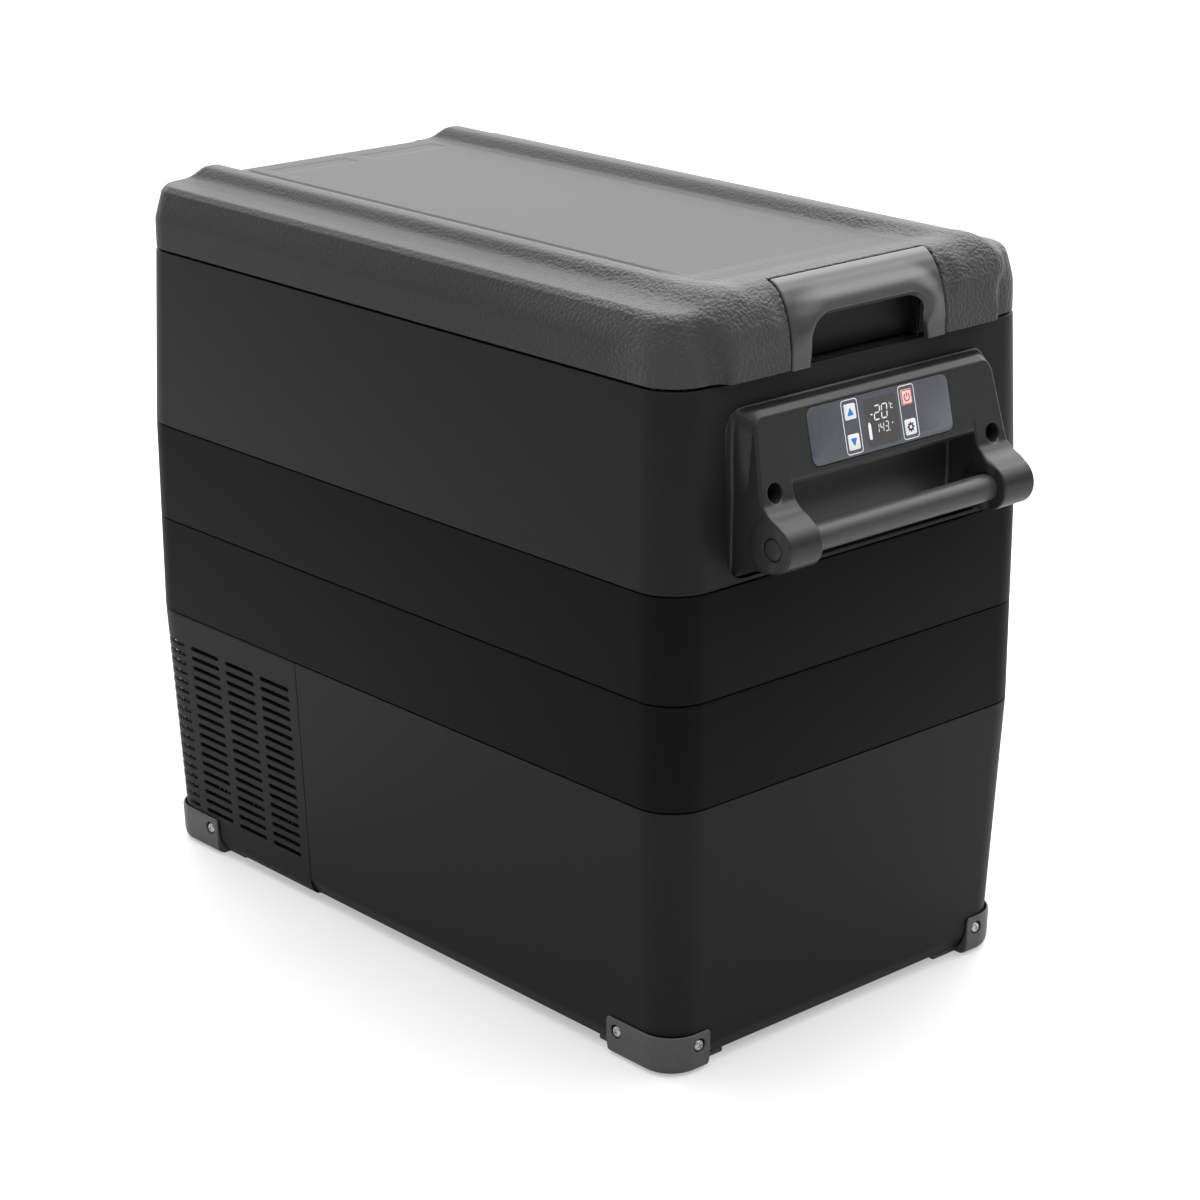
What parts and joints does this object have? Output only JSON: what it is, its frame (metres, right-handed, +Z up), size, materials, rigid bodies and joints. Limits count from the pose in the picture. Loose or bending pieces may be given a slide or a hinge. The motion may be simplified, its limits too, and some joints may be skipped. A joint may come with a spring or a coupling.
{
  "type": "compressor cooler fridge",
  "caption": "Portable compressor cooler box with a hinged lid, sprung latch handle, sloping control panel, bar handles, vents and corner guards.",
  "frame": {"origin": "on the floor, under the middle of the cabinet", "axes": "+Z up, +X to the control end, +Y across the cabinet"},
  "size_m": [0.699, 0.352, 0.543],
  "materials": {
    "shell_grey": "fine matt texture",
    "ring_grey": "fine matt texture, darker",
    "lid_grey": "leather grain",
    "handle_grey": "smooth satin",
    "guard_grey": "fine texture",
    "bar_grey": "powder coated satin",
    "overlay": "satin film",
    "key_white": "printed",
    "board_green": "lacquered",
    "steel": "plain",
    "tank_grey": "smooth",
    "foam": "closed cell foam",
    "sheet_aluminium": "plain",
    "copper": "drawn copper",
    "compressor_black": "painted",
    "rubber_black": "matt",
    "black_plastic": "plain",
    "lens": "frosted",
    "wire_white": "coated wire"
  },
  "bodies": {
    "cabinet": {"upper_shell": "shell_grey", "upper_ring": "ring_grey", "lower_ring": "ring_grey", "lower_shell": "shell_grey", "vent_cover": "shell_grey", "base_plate": "steel", "inner_tank": "tank_grey", "tank_rim": "shell_grey", "foam_insulation": "foam", "evaporator_plate": "sheet_aluminium", "lamp_lens": "lens", "compressor": "compressor_black", "compressor_mounts": "rubber_black", "compressor_bolts": "steel", "condenser": "sheet_aluminium", "fan_frame": "black_plastic", "control_electronics": "board_green", "heat_sink": "sheet_aluminium", "filter_drier": "copper", "refrigerant_pipes": "copper", "power_socket": "black_plastic", "guard_front_left": "guard_grey", "guard_front_right": "guard_grey", "guard_rear_left": "guard_grey", "guard_rear_right": "guard_grey", "guard_screws": "steel", "control_bezel": "handle_grey", "display_board": "board_green", "display_overlay": "overlay", "front_bar": "bar_grey", "front_bar_plugs": "handle_grey", "bezel_screws": "steel", "rear_bracket": "handle_grey", "rear_bar": "bar_grey", "rear_bar_plugs": "handle_grey", "rear_screws": "steel", "hinge_brackets": "black_plastic", "hinge_pins": "steel", "latch_strikes": "steel"},
    "lid": {"lid_top": "lid_grey", "lid_foam": "foam", "lid_liner": "tank_grey", "lid_gasket": "rubber_black", "hinge_knuckles": "black_plastic", "latch_pin": "steel", "latch_spring": "steel", "grip_recess": "black_plastic"},
    "latch": {"latch_handle": "handle_grey"},
    "fan": {"fan_rotor": "black_plastic"},
    "up_key": {"key_up": "key_white"},
    "down_key": {"key_down": "key_white"},
    "power_key": {"key_power": "key_white"},
    "settings_key": {"key_settings": "key_white"},
    "basket": {"basket_floor": "wire_white", "basket_sides": "wire_white", "basket_ends": "wire_white", "basket_corners": "wire_white"},
    "bail": {"basket_bail": "wire_white", "bail_grip": "black_plastic"}
  },
  "joints": [
    {"name": "lid_hinge", "type": "hinge", "parent": "cabinet", "child": "lid", "pos_m": [-0.3044, 0, 0.4836], "axis": [0, -1, 0], "range_deg": [0, 95]},
    {"name": "latch_pull", "type": "hinge", "parent": "lid", "child": "latch", "pos_m": [0.284, 0, 0.535], "axis": [0, -1, 0], "range_deg": [0, 10], "stiffness_Nm_per_rad": 1.2},
    {"name": "fan_spin", "type": "hinge", "parent": "cabinet", "child": "fan", "pos_m": [-0.196, -0.118, 0.084], "axis": [0, 1, 0], "continuous": true},
    {"name": "up_key_press", "type": "slide", "parent": "cabinet", "child": "up_key", "axis": [-0.9722, 0, -0.2342], "range_m": [0, 0.0006], "stiffness_N_per_m": 400},
    {"name": "down_key_press", "type": "slide", "parent": "cabinet", "child": "down_key", "axis": [-0.9722, 0, -0.2342], "range_m": [0, 0.0006], "stiffness_N_per_m": 400},
    {"name": "power_key_press", "type": "slide", "parent": "cabinet", "child": "power_key", "axis": [-0.9722, 0, -0.2342], "range_m": [0, 0.0006], "stiffness_N_per_m": 400},
    {"name": "settings_key_press", "type": "slide", "parent": "cabinet", "child": "settings_key", "axis": [-0.9722, 0, -0.2342], "range_m": [0, 0.0006], "stiffness_N_per_m": 400},
    {"name": "basket_lift", "type": "slide", "parent": "cabinet", "child": "basket", "axis": [0, 0, 1], "range_m": [0, 0.045]},
    {"name": "bail_fold", "type": "hinge", "parent": "basket", "child": "bail", "pos_m": [0.098, 0, 0.295], "axis": [0, -1, 0], "range_deg": [0, 180]}
  ]
}
